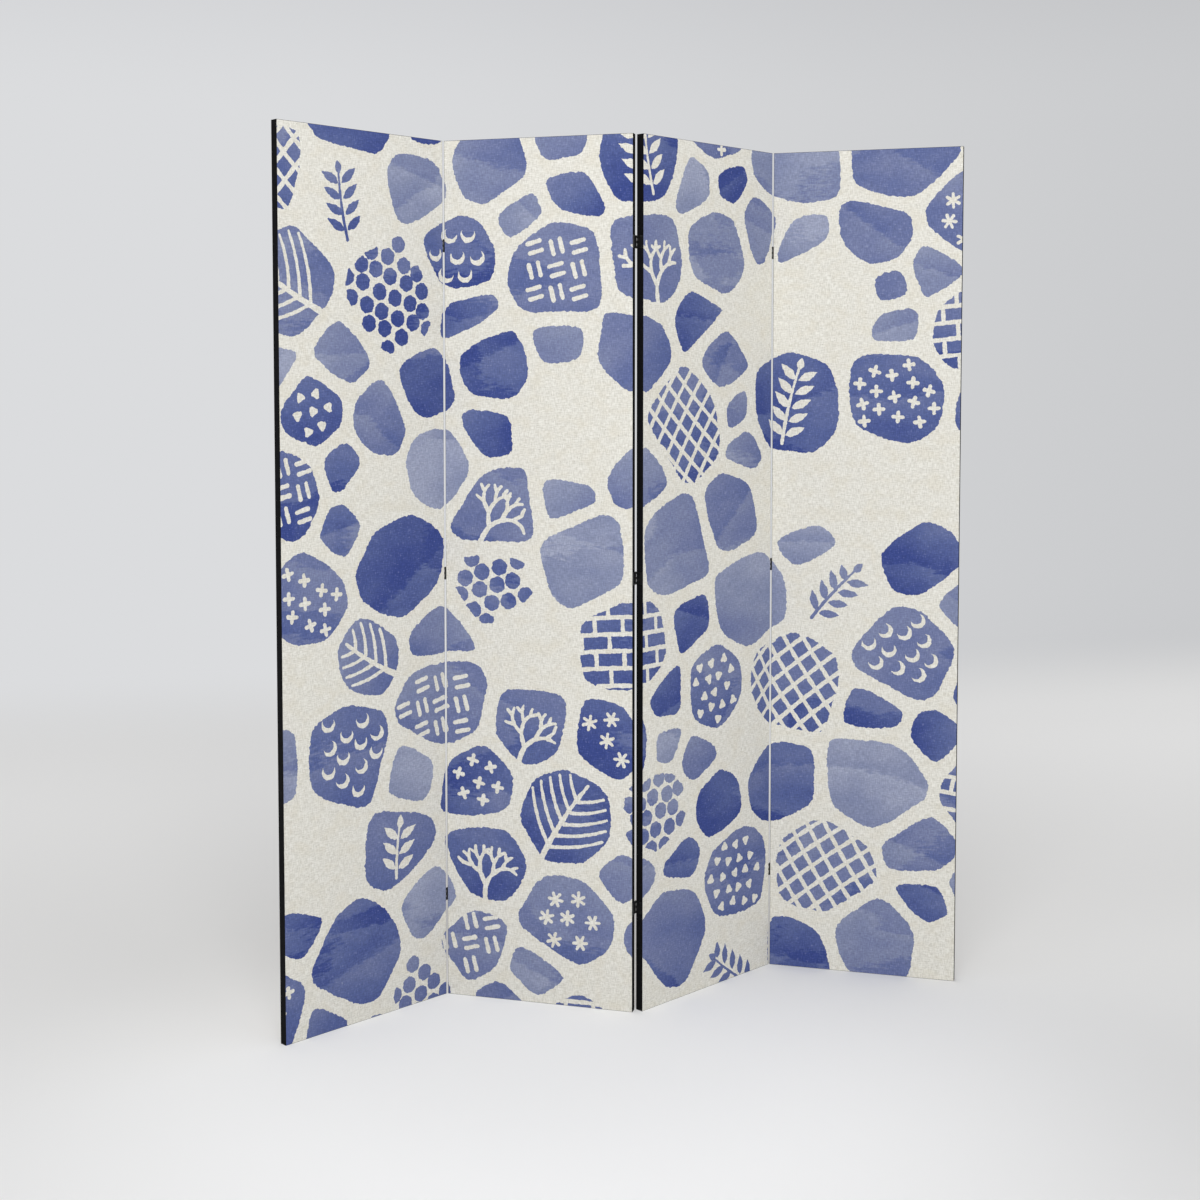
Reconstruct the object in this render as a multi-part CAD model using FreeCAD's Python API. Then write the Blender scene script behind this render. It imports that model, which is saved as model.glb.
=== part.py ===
import FreeCAD, Part
import os

# Folding room divider: four tall panels of printed canvas stretched over timber frames,
# standing in a zigzag and joined edge to edge by small double-acting hinges.
# Millimetres, +Z up. The printed front looks along -Y. The origin is on the floor, at the
# middle of the screen as it stands. A panel's own frame has X across it from its left edge,
# Y from its front face to its back, and Z up from the floor.

# Panels
panel_width = 405.0
panel_height = 1800.0
panel_depth = 18.0
panel_numbers = (1, 2, 3, 4)

# Canvas
canvas_thickness = 0.8
canvas_turnover = 26.0

# Timber frames
stile_width = 40.0
rail_height = 40.0
brace_height = 30.0
brace_set_back = 4.0
brace_height_shares = (1.0 / 3.0, 2.0 / 3.0)
tenon_length = 22.0
tenon_thickness = 6.0
tenon_shoulder = 5.0
tenon_play = 0.15
mortise_spare_depth = 1.0

# Staples that hold the turned-over canvas
staple_crown = 10.0
staple_leg = 6.0
staple_wire_width = 1.2
staple_wire_thickness = 0.5
staple_edge_distance = 13.0
staple_pitch = 110.0
staple_end_distance = 60.0
staple_play = 0.1

# Hinges between neighbouring panels
hinge_gap = 3.0
hinge_height = 26.0
hinge_end_distance = 216.0
pivot_stand_off = 0.8
leaf_thickness = 0.7
leaf_inset = 2.0
link_thickness = 0.7
barrel_radius = 1.25
barrel_notch_play = 0.3
knuckle_count = 5
knuckle_play = 0.2
pin_radius = 0.6
pin_play = 0.05
pin_head_radius = 0.95
pin_head_thickness = 0.5

# Countersunk screws of the hinge leaves
screw_head_radius = 1.7
screw_shank_radius = 1.0
screw_shank_length = 10.0
screw_tip_length = 2.0
screw_tip_radius = 0.2
screw_end_distance = 5.5
screw_play = 0.05
screw_recess_width = 0.5
screw_recess_length = 2.2
screw_recess_depth = 0.35

# Folds at rest, in degrees, of the front and the back pivot between panels 1 and 2, 2 and 3,
# and 3 and 4
rest_fold = 60.0
rest_folds = ((rest_fold, 0.0), (0.0, rest_fold), (rest_fold, 0.0))

# How far a cutting solid runs past the face that it opens
overrun = 1.0

X_AXIS = FreeCAD.Vector(1, 0, 0)
Y_AXIS = FreeCAD.Vector(0, 1, 0)
Z_AXIS = FreeCAD.Vector(0, 0, 1)

# The timber lies inside the canvas on every side
timber_left = canvas_thickness
timber_right = panel_width - canvas_thickness
timber_front = canvas_thickness
timber_back = panel_depth - canvas_thickness
timber_bottom = canvas_thickness
timber_top = panel_height - canvas_thickness

# Hinge places: two pivots per joint, just in front of and just behind the panels
front_pivot = -pivot_stand_off
back_pivot = panel_depth + pivot_stand_off
knuckle_height = hinge_height / knuckle_count
leaf_slots = range(0, knuckle_count, 2)
link_slots = range(1, knuckle_count, 2)
hinge_middles = (hinge_end_distance, panel_height / 2, panel_height - hinge_end_distance)


def box(low_x, high_x, low_y, high_y, low_z, high_z):
    """A block between two corners."""
    corner = FreeCAD.Vector(low_x, low_y, low_z)
    return Part.makeBox(high_x - low_x, high_y - low_y, high_z - low_z, corner)


def moved(shape, placement):
    """A copy of a shape, moved by a placement."""
    copy = shape.copy()
    copy.Placement = placement.multiply(copy.Placement)
    return copy


def shift(x, y, z):
    """A placement that moves without turning."""
    return FreeCAD.Placement(FreeCAD.Vector(x, y, z), FreeCAD.Rotation())


def turn_about(x, y, degrees):
    """A placement that turns about the upright line through x, y."""
    rotation = FreeCAD.Rotation(Z_AXIS, degrees)
    return FreeCAD.Placement(FreeCAD.Vector(), rotation, FreeCAD.Vector(x, y, 0))


def shared(total, pitch):
    """Even steps along a length, from one end to the other, about a pitch apart."""
    steps = max(1, round(total / pitch))
    return [total * step / steps for step in range(steps + 1)]


# Timber members of one panel
def cross_members():
    """Name, lowest and highest edge and front face of the rails and braces."""
    members = {
        "bottom_rail": (timber_bottom, timber_bottom + rail_height, timber_front),
        "top_rail": (timber_top - rail_height, timber_top, timber_front),
    }
    for name, share in zip(("lower_brace", "upper_brace"), brace_height_shares):
        middle = panel_height * share
        low = middle - brace_height / 2
        members[name] = (low, low + brace_height, timber_front + brace_set_back)
    return members


def tenon(side, low, high, front, play, extra_length):
    """A tenon at the left or right end of a cross member, or the mortise for it."""
    middle = (front + timber_back) / 2
    reach = tenon_length + extra_length
    if side == "left":
        inner = timber_left + stile_width
        ends = (inner - reach, inner)
    else:
        inner = timber_right - stile_width
        ends = (inner, inner + reach)
    half = tenon_thickness / 2 + play
    return box(
        ends[0],
        ends[1],
        middle - half,
        middle + half,
        low + tenon_shoulder - play,
        high - tenon_shoulder + play,
    )


def cross_member(low, high, front):
    """A rail or brace with a tenon at each end."""
    bar = box(timber_left + stile_width, timber_right - stile_width, front, timber_back, low, high)
    tenons = [tenon(side, low, high, front, 0, 0) for side in ("left", "right")]
    return bar.fuse(tenons).removeSplitter()


def stile(side):
    """An upright of the frame, with a blind mortise for each cross member."""
    if side == "left":
        ends = (timber_left, timber_left + stile_width)
    else:
        ends = (timber_right - stile_width, timber_right)
    bar = box(ends[0], ends[1], timber_front, timber_back, timber_bottom, timber_top)
    mortises = []
    for low, high, front in cross_members().values():
        mortises.append(tenon(side, low, high, front, tenon_play, mortise_spare_depth))
    return bar.cut(mortises)


# Canvas and staples of one panel
def canvas():
    """The stretched cloth: front, four wrapped edges and the margins turned over behind."""
    cloth = box(0, panel_width, 0, panel_depth, 0, panel_height)
    timber_space = box(
        timber_left, timber_right, timber_front, timber_back, timber_bottom, timber_top
    )
    window = box(
        canvas_turnover,
        panel_width - canvas_turnover,
        timber_front,
        panel_depth + overrun,
        canvas_turnover,
        panel_height - canvas_turnover,
    )
    return cloth.cut([timber_space, window])


def staple_leg_pair(play):
    """The two legs of a staple whose crown runs along Z, or the slots for them."""
    legs = []
    for end in (-1, 1):
        middle = end * (staple_crown - staple_wire_thickness) / 2
        half = staple_wire_thickness / 2 + play
        legs.append(
            box(
                -staple_wire_width / 2 - play,
                staple_wire_width / 2 + play,
                panel_depth - staple_leg - play,
                panel_depth,
                middle - half,
                middle + half,
            )
        )
    return legs


def staple():
    """One staple, driven in from behind, with its crown on the canvas along Z."""
    crown = box(
        -staple_wire_width / 2,
        staple_wire_width / 2,
        panel_depth,
        panel_depth + staple_wire_thickness,
        -staple_crown / 2,
        staple_crown / 2,
    )
    return crown.fuse(staple_leg_pair(0)).removeSplitter()


def staple_places():
    """Where the staples of a panel go: up both stiles and along both rails."""
    places = []
    stile_run = panel_height - 2 * staple_end_distance
    for x in (staple_edge_distance, panel_width - staple_edge_distance):
        for step in shared(stile_run, staple_pitch):
            places.append(shift(x, 0, staple_end_distance + step))
    lying = FreeCAD.Rotation(Y_AXIS, 90)
    rail_run = panel_width - 2 * staple_end_distance
    for z in (staple_edge_distance, panel_height - staple_edge_distance):
        for step in shared(rail_run, staple_pitch):
            place = FreeCAD.Vector(staple_end_distance + step, 0, z)
            places.append(FreeCAD.Placement(place, lying))
    return places


# Hinge pieces. Their frame has its origin between the edges of two panels that stand in one
# line, on the front face, at the middle of the hinge's height. The left leaf turns on the front
# pivot, and the right leaf is the same piece turned round, on the back pivot.
def slot_span(slot, play):
    """Lowest and highest point of a knuckle, or of the notch beside one."""
    low = slot * knuckle_height - hinge_height / 2
    return low + play, low + knuckle_height - play


def upright_cylinder(radius, y, low, high):
    """A cylinder about a pivot."""
    return Part.makeCylinder(radius, high - low, FreeCAD.Vector(0, y, low), Z_AXIS)


def knuckles(pivot, slots):
    """Barrel lengths about a pivot."""
    spans = [slot_span(slot, knuckle_play / 2) for slot in slots]
    return [upright_cylinder(barrel_radius, pivot, low, high) for low, high in spans]


def notches(pivot, slots, half_width):
    """Room in a plate for the other piece's barrel lengths."""
    reach = barrel_radius + barrel_notch_play
    cuts = []
    for slot in slots:
        low, high = slot_span(slot, -knuckle_play / 2)
        cuts.append(box(-half_width, half_width, pivot - reach, pivot + reach, low, high))
    return cuts


def pin_bore(pivot):
    """The bore through all barrel lengths of a pivot."""
    half = hinge_height / 2 + overrun
    return upright_cylinder(pin_radius + pin_play, pivot, -half, half)


def screw_heights():
    """Heights of a leaf's two screws from the middle of the hinge."""
    height = hinge_height / 2 - screw_end_distance
    return (-height, height)


def screw_solid(play):
    """A countersunk screw pointing along -X, or the hole for it, with its head at X zero."""
    towards = FreeCAD.Vector(-1, 0, 0)
    head = Part.makeCone(
        screw_head_radius + play,
        screw_shank_radius + play,
        leaf_thickness,
        FreeCAD.Vector(),
        towards,
    )
    shank_start = FreeCAD.Vector(-leaf_thickness, 0, 0)
    shank = Part.makeCylinder(
        screw_shank_radius + play, screw_shank_length + play, shank_start, towards
    )
    tip_start = FreeCAD.Vector(-leaf_thickness - screw_shank_length - play, 0, 0)
    tip = Part.makeCone(
        screw_shank_radius + play,
        screw_tip_radius + play,
        screw_tip_length,
        tip_start,
        towards,
    )
    return head.fuse([shank, tip]).removeSplitter()


def screw():
    """One screw with a cross recess in its head."""
    half_length = screw_recess_length / 2
    half_width = screw_recess_width / 2
    upright = box(
        -screw_recess_depth, overrun, -half_width, half_width, -half_length, half_length
    )
    level = box(
        -screw_recess_depth, overrun, -half_length, half_length, -half_width, half_width
    )
    return screw_solid(0).cut([upright, level])


def screw_places():
    """Where a left leaf's screws go."""
    inner_face = leaf_thickness - hinge_gap / 2
    return [shift(inner_face, panel_depth / 2, z) for z in screw_heights()]


def hinge_leaf():
    """The left leaf: a plate on the panel's edge, with barrel lengths on the front pivot."""
    outer_face = -hinge_gap / 2
    plate = box(
        outer_face,
        outer_face + leaf_thickness,
        front_pivot,
        panel_depth - leaf_inset,
        -hinge_height / 2 + knuckle_play / 2,
        hinge_height / 2 - knuckle_play / 2,
    )
    plate = plate.cut(notches(front_pivot, link_slots, hinge_gap))
    leaf = plate.fuse(knuckles(front_pivot, leaf_slots))
    holes = [moved(screw_solid(screw_play), place) for place in screw_places()]
    return leaf.cut([pin_bore(front_pivot)] + holes).removeSplitter()


def hinge_link():
    """The middle plate, with barrel lengths on both pivots."""
    plate = box(
        -link_thickness / 2,
        link_thickness / 2,
        front_pivot,
        back_pivot,
        -hinge_height / 2,
        hinge_height / 2,
    )
    cuts = notches(front_pivot, leaf_slots, hinge_gap) + notches(back_pivot, leaf_slots, hinge_gap)
    lengths = knuckles(front_pivot, link_slots) + knuckles(back_pivot, link_slots)
    link = plate.cut(cuts).fuse(lengths)
    return link.cut([pin_bore(front_pivot), pin_bore(back_pivot)]).removeSplitter()


def hinge_pin(pivot):
    """A pin with a small head at each end."""
    half = hinge_height / 2
    top = half + pin_head_thickness
    shank = upright_cylinder(pin_radius, pivot, -top, top)
    heads = [
        upright_cylinder(pin_head_radius, pivot, half, top),
        upright_cylinder(pin_head_radius, pivot, -top, -half),
    ]
    return shank.fuse(heads).removeSplitter()


def at_each_hinge(solids):
    """Copies of solids at the three hinge heights."""
    copies = []
    for height in hinge_middles:
        copies += [moved(solid, shift(0, 0, height)) for solid in solids]
    return copies


# Hinge frame to panel frames, and the half turn that makes a left leaf a right one
hinge_in_left_panel = shift(panel_width + hinge_gap / 2, 0, 0)
hinge_in_right_panel = shift(-hinge_gap / 2, 0, 0)
half_turn = turn_about(0, panel_depth / 2, 180)


def screw_holes(side):
    """Screw holes in the left or right edge of a panel, in the panel's frame."""
    holes = [moved(screw_solid(screw_play), place) for place in screw_places()]
    holes = at_each_hinge(holes)
    if side == "right":
        return [moved(hole, hinge_in_left_panel) for hole in holes]
    return [moved(moved(hole, half_turn), hinge_in_right_panel) for hole in holes]


def panel_solids(number):
    """The pieces of one panel, in the panel's frame."""
    slots = [
        moved(leg, place) for place in staple_places() for leg in staple_leg_pair(staple_play)
    ]
    drilled = {"left": [], "right": []}
    if number != panel_numbers[0]:
        drilled["left"] = screw_holes("left")
    if number != panel_numbers[-1]:
        drilled["right"] = screw_holes("right")
    solids = {
        "canvas": canvas().cut(slots + drilled["left"] + drilled["right"]),
        "left_stile": stile("left").cut(slots + drilled["left"]),
        "right_stile": stile("right").cut(slots + drilled["right"]),
    }
    for name, (low, high, front) in cross_members().items():
        solids[name] = cross_member(low, high, front)
        if name.endswith("rail"):
            solids[name] = solids[name].cut(slots)
    solids["staples"] = Part.makeCompound([moved(staple(), place) for place in staple_places()])
    return solids


# Where panels, hinges and links stand at rest
panel_places = [turn_about(0, 0, rest_fold / 2)]
left_leaf_places = []
link_places = []
right_leaf_places = []
for front_fold, back_fold in rest_folds:
    left_leaf_place = panel_places[-1].multiply(hinge_in_left_panel)
    link_place = left_leaf_place.multiply(turn_about(0, front_pivot, -front_fold))
    right_leaf_place = link_place.multiply(turn_about(0, back_pivot, back_fold))
    left_leaf_places.append(left_leaf_place)
    link_places.append(link_place)
    right_leaf_places.append(right_leaf_place)
    panel_places.append(right_leaf_place.multiply(hinge_in_right_panel.inverse()))


def standing_nodes():
    """Every node of the screen, standing at rest, before it is centred."""
    nodes = {}
    for number, place in zip(panel_numbers, panel_places):
        for name, solid in panel_solids(number).items():
            nodes[f"panel_{number}_{name}"] = moved(solid, place)

    leaves = at_each_hinge([hinge_leaf()])
    links = at_each_hinge([hinge_link()])
    screws = at_each_hinge([moved(screw(), place) for place in screw_places()])
    pins = {
        "front_pins": at_each_hinge([hinge_pin(front_pivot)]),
        "back_pins": at_each_hinge([hinge_pin(back_pivot)]),
    }
    for index, number in enumerate(panel_numbers[:-1]):
        joint = f"hinge_{number}{number + 1}"
        left = left_leaf_places[index]
        right = right_leaf_places[index].multiply(half_turn)
        groups = {
            "left_leaves": (leaves, left),
            "right_leaves": (leaves, right),
            "left_screws": (screws, left),
            "right_screws": (screws, right),
            "links": (links, link_places[index]),
            "front_pins": (pins["front_pins"], link_places[index]),
            "back_pins": (pins["back_pins"], link_places[index]),
        }
        for name, (solids, place) in groups.items():
            group = Part.makeCompound([moved(solid, place) for solid in solids])
            nodes[f"{joint}_{name}"] = group
    return nodes


nodes = standing_nodes()
bounds = Part.makeCompound(list(nodes.values())).BoundBox
centre = shift(-bounds.Center.x, -bounds.Center.y, 0)
os.makedirs("parts", exist_ok=True)
for name, shape in nodes.items():
    moved(shape, centre).exportStep(f"parts/{name}.step")
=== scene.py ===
"""The looks of a folding room divider: four printed canvas panels in a zigzag, each a cloth
stretched over a timber frame, joined by small black double-acting hinges. Lengths in metres."""

import math
import random

import bpy
from mathutils import Matrix, Vector, noise
from mathutils.geometry import delaunay_2d_cdt


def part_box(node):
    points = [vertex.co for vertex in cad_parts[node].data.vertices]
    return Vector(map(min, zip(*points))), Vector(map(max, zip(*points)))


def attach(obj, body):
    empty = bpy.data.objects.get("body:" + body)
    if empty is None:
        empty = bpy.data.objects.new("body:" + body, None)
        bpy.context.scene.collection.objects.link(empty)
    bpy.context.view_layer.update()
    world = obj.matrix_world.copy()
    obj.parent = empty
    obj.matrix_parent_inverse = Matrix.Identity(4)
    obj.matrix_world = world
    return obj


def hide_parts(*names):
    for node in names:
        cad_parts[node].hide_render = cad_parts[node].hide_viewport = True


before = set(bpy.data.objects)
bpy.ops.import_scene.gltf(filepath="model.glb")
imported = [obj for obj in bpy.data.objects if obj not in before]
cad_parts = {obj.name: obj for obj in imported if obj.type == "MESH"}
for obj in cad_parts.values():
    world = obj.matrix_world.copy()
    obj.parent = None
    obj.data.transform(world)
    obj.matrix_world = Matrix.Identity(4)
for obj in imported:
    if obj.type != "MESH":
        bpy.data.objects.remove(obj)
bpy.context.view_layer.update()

# Sizes of the panels
PANELS = (1, 2, 3, 4)
JOINTS = ("hinge_12", "hinge_23", "hinge_34")
TURN = math.radians(30)  # each panel stands turned this far from the screen's own line
CLOTH = 0.0008
TURNOVER = 0.026
FOLD_RADIUS = 0.0007  # of the cloth where it goes round the timber
FOLD_HEIGHT, FOLD_REACH = 0.0006, 0.036  # of the tucked corners on the back
TUCK_INSET, TUCK_SHORT, TUCK_SUNK = 0.0015, 0.0008, 0.0003  # how they keep inside the margin
MEMBERS = ("left_stile", "right_stile", "bottom_rail", "top_rail", "lower_brace", "upper_brace")


def panel_size():
    """Width, depth and height of a panel, from the box that it fills where it stands."""
    low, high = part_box("panel_1_canvas")
    across, through = high.x - low.x, high.y - low.y
    spread = math.cos(TURN) ** 2 - math.sin(TURN) ** 2
    width = (across * math.cos(TURN) - through * math.sin(TURN)) / spread
    depth = (through * math.cos(TURN) - across * math.sin(TURN)) / spread
    return width, depth, high.z - low.z


WIDTH, DEPTH, HEIGHT = panel_size()


def panel_turn(number):
    return TURN if number % 2 else -TURN


def panel_place(number):
    """A panel's own frame: x along it, y from its front to its back, z up."""
    low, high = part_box(f"panel_{number}_canvas")
    if number % 2:
        corner = Vector((low.x + DEPTH * math.sin(TURN), low.y, low.z))
    else:
        corner = Vector((low.x, high.y - DEPTH * math.cos(TURN), low.z))
    return Matrix.Translation(corner) @ Matrix.Rotation(panel_turn(number), 4, "Z")


# Colours
def srgb(red, green, blue):
    """A colour as a screen shows it, from 0 to 255, as the linear colour that nodes take."""
    linear = []
    for value in (red / 255, green / 255, blue / 255):
        linear.append(value / 12.92 if value <= 0.04045 else ((value + 0.055) / 1.055) ** 2.4)
    return (*linear, 1.0)


WASH_COLOURS = (
    (0.00, srgb(56, 71, 134)),
    (0.25, srgb(86, 99, 148)),
    (0.50, srgb(111, 120, 158)),
    (0.75, srgb(130, 138, 167)),
    (1.00, srgb(152, 158, 181)),
)
GROUND_DARK = srgb(208, 205, 194)
GROUND_LIGHT = srgb(236, 234, 226)
FLECK = srgb(168, 158, 146)
STAIN = srgb(212, 203, 180)  # where the cream has gone warmer
EDGE_BLACK, EDGE_BLACK_LIGHT = srgb(13, 13, 15), srgb(24, 24, 26)
RAW_CLOTH_DARK, RAW_CLOTH_LIGHT = srgb(206, 200, 186), srgb(232, 228, 218)
PINE_LIGHT, PINE_DARK = srgb(222, 190, 146), srgb(186, 142, 94)
HINGE_BLACK, HINGE_WORN = srgb(22, 22, 22), srgb(52, 51, 50)
PIN_BLACK, PIN_WORN = srgb(30, 30, 31), srgb(74, 74, 76)
SCREW_BLACK, SCREW_WORN = srgb(26, 26, 26), srgb(64, 63, 62)
STEEL, STEEL_DULL = srgb(176, 178, 182), srgb(132, 130, 128)
BACKDROP = srgb(222, 223, 225)  # the floor and wall as all but the camera's rays find them
# For the camera the floor and wall are painted with light and shade: a pool of painted light
# before the panels, painted shade at the front right, painted light on the far floor, a painted
# glow at the panels' feet, and painted shade on the wall to the right and at the top.
FLOOR_PAINTED_LIGHT, FLOOR_BESIDE = srgb(247, 247, 247), srgb(234, 234, 234)
FLOOR_LEFT, FLOOR_FOOT_PAINTED_LIGHT, FLOOR_PAINTED_SHADE_RIGHT = srgb(230, 230, 230), srgb(232, 232, 232), srgb(221, 221, 221)
FAR_FLOOR_PAINTED_LIGHT_LEFT, FAR_FLOOR_PAINTED_LIGHT_RIGHT = srgb(245, 245, 245), srgb(252, 252, 252)
WALL_LEFT, WALL_PAINTED_SHADE_RIGHT, WALL_TOP_PAINTED_SHADE = srgb(219, 220, 222), srgb(197, 198, 200), srgb(243, 243, 244)


# Short calls for nodes
def plug(tree, socket, value):
    if isinstance(value, bpy.types.NodeSocket):
        tree.links.new(value, socket)
    elif value is not None:
        socket.default_value = value


def calc(tree, operation, *values):
    node = tree.nodes.new("ShaderNodeMath")
    node.operation = operation
    for socket, value in zip(node.inputs, values):
        plug(tree, socket, value)
    return node.outputs[0]


def varied(tree, level, by, amount):
    """A level moved up and down by a noise from 0 to 1."""
    return calc(tree, "MULTIPLY_ADD", calc(tree, "SUBTRACT", by, 0.5), amount, level)


def parts_of(tree, value, kind="ShaderNodeSeparateXYZ"):
    node = tree.nodes.new(kind)
    plug(tree, node.inputs[0], value)
    return node.outputs


def scaled(tree, vector, scale, turn=(0, 0, 0), shift=(0, 0, 0)):
    node = tree.nodes.new("ShaderNodeMapping")
    plug(tree, node.inputs["Vector"], vector)
    node.inputs["Location"].default_value = shift
    node.inputs["Rotation"].default_value = turn
    node.inputs["Scale"].default_value = scale
    return node.outputs[0]


def grain(tree, vector, scale, detail=3.0, distortion=0.0):
    """Noise from 0 to 1 about 0.5. The scale is spots to the metre along each axis."""
    node = tree.nodes.new("ShaderNodeTexNoise")
    plug(tree, node.inputs["Vector"], scaled(tree, vector, scale))
    node.inputs["Scale"].default_value = 1.0
    node.inputs["Detail"].default_value = detail
    node.inputs["Distortion"].default_value = distortion
    return node.outputs[0]


def stepped(tree, value, low, high, to_low=0.0, to_high=1.0):
    """A smooth step between two levels of a value."""
    node = tree.nodes.new("ShaderNodeMapRange")
    node.interpolation_type = "SMOOTHSTEP"
    for socket, number in zip(node.inputs, (value, low, high, to_low, to_high)):
        plug(tree, socket, number)
    return node.outputs[0]


def mixed(tree, factor, first, second, blend="MIX"):
    node = tree.nodes.new("ShaderNodeMix")
    node.data_type = "RGBA"
    node.blend_type = blend
    sockets = [s for s in node.inputs if s.enabled]
    for socket, value in zip(sockets, (factor, first, second)):
        plug(tree, socket, value)
    return next(s for s in node.outputs if s.enabled)


def ramp(tree, factor, stops):
    node = tree.nodes.new("ShaderNodeValToRGB")
    plug(tree, node.inputs[0], factor)
    elements = node.color_ramp.elements
    for place, colour in stops[1:-1]:
        elements.new(place).color = colour
    for element, (place, colour) in zip(elements, stops):
        element.position, element.color = place, colour
    return node.outputs[0]


BUMP_STRENGTH = 0.5


def finish_surface(tree, colour, roughness, height, depth, metallic=0.0, gloss=0.5):
    """Joins a colour, a roughness and a height to the material's surface."""
    surface = tree.nodes.new("ShaderNodeBsdfPrincipled")
    surface.inputs["Metallic"].default_value = metallic
    surface.inputs["Specular IOR Level"].default_value = gloss
    plug(tree, surface.inputs["Base Color"], colour)
    plug(tree, surface.inputs["Roughness"], roughness)
    bump = tree.nodes.new("ShaderNodeBump")
    bump.inputs["Strength"].default_value = BUMP_STRENGTH
    bump.inputs["Distance"].default_value = depth
    plug(tree, bump.inputs["Height"], height)
    plug(tree, surface.inputs["Normal"], bump.outputs[0])
    output = tree.nodes.new("ShaderNodeOutputMaterial")
    plug(tree, output.inputs["Surface"], surface.outputs[0])


def new_material(name):
    """A material and its still empty node tree."""
    material = bpy.data.materials.new(name)
    material.use_nodes = True
    material.node_tree.nodes.clear()
    return material, material.node_tree


def new_piece(name, points, faces, *materials):
    mesh = bpy.data.meshes.new(name)
    mesh.from_pydata(points, [], faces)
    for material in materials:
        mesh.materials.append(material)
    piece = bpy.data.objects.new(name, mesh)
    bpy.context.scene.collection.objects.link(piece)
    return piece


# Cloth materials
# Noises have so many spots to the metre across the cloth and up it. A span is the stretch of a
# noise over which its effect sets in.
FLAT_MAP = "flat_cloth"
SLUB_LONG, SLUB_ACROSS = 85.0, 560.0  # thick places in the threads
SLUB_SPAN = (0.74, 1.26)
WEAVE_DEPTH = 0.00025
CLOTH_ROUGHNESS = 0.86

DRIFT_SPOTS, CLOUD_SPOTS, FRAY_SPOTS = (2.1, 4.6, 1.0), (11.0, 16.0, 1.0), (45.0, 160.0, 1.0)
CELL_GRADIENT, WIDE_DRIFT, CLOUDS = 0.14, 0.80, 0.42  # how far each of them moves the wash's tone
BAND_FRAY, BAND_SPAN, BAND_TONES = 0.35, (-0.07, 0.07), (0.13, -0.13)
TIDE_FRAY, TIDE_SPAN, TIDE_TONES = 0.10, (0.50, 0.53), (0.12, -0.14)

MOTTLE_SPOTS, MOTTLE = (210.0, 210.0, 1.0), 0.30
AGED_SPOTS, AGED_SPAN, AGED_SHARE = (24.0, 30.0, 1.0), (0.42, 0.72), 0.25
SPECK_SPOTS, SPECK_SPAN, SPECK_SHARE = (330.0, 330.0, 1.0), (0.66, 0.74), 0.75
THREAD_SHADE = 0.31  # between the paint's darkest and lightest threads
RUBBED_SPAN, RUBBED_SHARE = (1.35, 1.75), 0.20  # where threads show through the paint


def own_place(tree):
    return tree.nodes.new("ShaderNodeTexCoord").outputs["Object"]


def flat_place(tree):
    """Where a point lies on the flat cloth, in metres."""
    node = tree.nodes.new("ShaderNodeUVMap")
    node.uv_map = FLAT_MAP
    return node.outputs[0]


def linen(tree, place):
    """The crossing threads of a slubby cloth, from 0 to 1."""
    upright = grain(tree, place, (SLUB_ACROSS, SLUB_LONG, 1.0))
    level = grain(tree, place, (SLUB_LONG, SLUB_ACROSS, 1.0))
    return stepped(tree, calc(tree, "ADD", upright, level), *SLUB_SPAN)


def attribute(tree, name, output):
    node = tree.nodes.new("ShaderNodeAttribute")
    node.attribute_name = name
    return node.outputs[output]


def wash_tone(tree, place):
    """Whether a face is painted, and how light its wash is: the cell's own tone, its gradient and
    band, wide drifts, clouds and tide lines."""
    ink, slope = attribute(tree, "ink", "Color"), attribute(tree, "slope", "Vector")
    paint, tone, band_place = parts_of(tree, ink, "ShaderNodeSeparateColor")
    slope_across, slope_up, start = parts_of(tree, slope)
    across_cloth, up_cloth, _ = parts_of(tree, place)
    along = calc(tree, "MULTIPLY", across_cloth, slope_across)
    along = calc(tree, "MULTIPLY_ADD", up_cloth, slope_up, along)
    along = calc(tree, "SUBTRACT", along, start)

    drift = grain(tree, place, DRIFT_SPOTS, detail=2.0, distortion=0.4)
    cloud = grain(tree, place, CLOUD_SPOTS, detail=4.0, distortion=0.3)
    fray = grain(tree, place, FRAY_SPOTS)
    level = calc(tree, "MULTIPLY_ADD", along, CELL_GRADIENT, tone)
    level = varied(tree, level, drift, WIDE_DRIFT)
    level = varied(tree, level, cloud, CLOUDS)
    from_band = calc(tree, "SUBTRACT", varied(tree, along, fray, BAND_FRAY), band_place)
    level = calc(tree, "ADD", level, stepped(tree, from_band, *BAND_SPAN, *BAND_TONES))
    tide = varied(tree, drift, fray, TIDE_FRAY)
    return paint, calc(tree, "ADD", level, stepped(tree, tide, *TIDE_SPAN, *TIDE_TONES))


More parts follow.
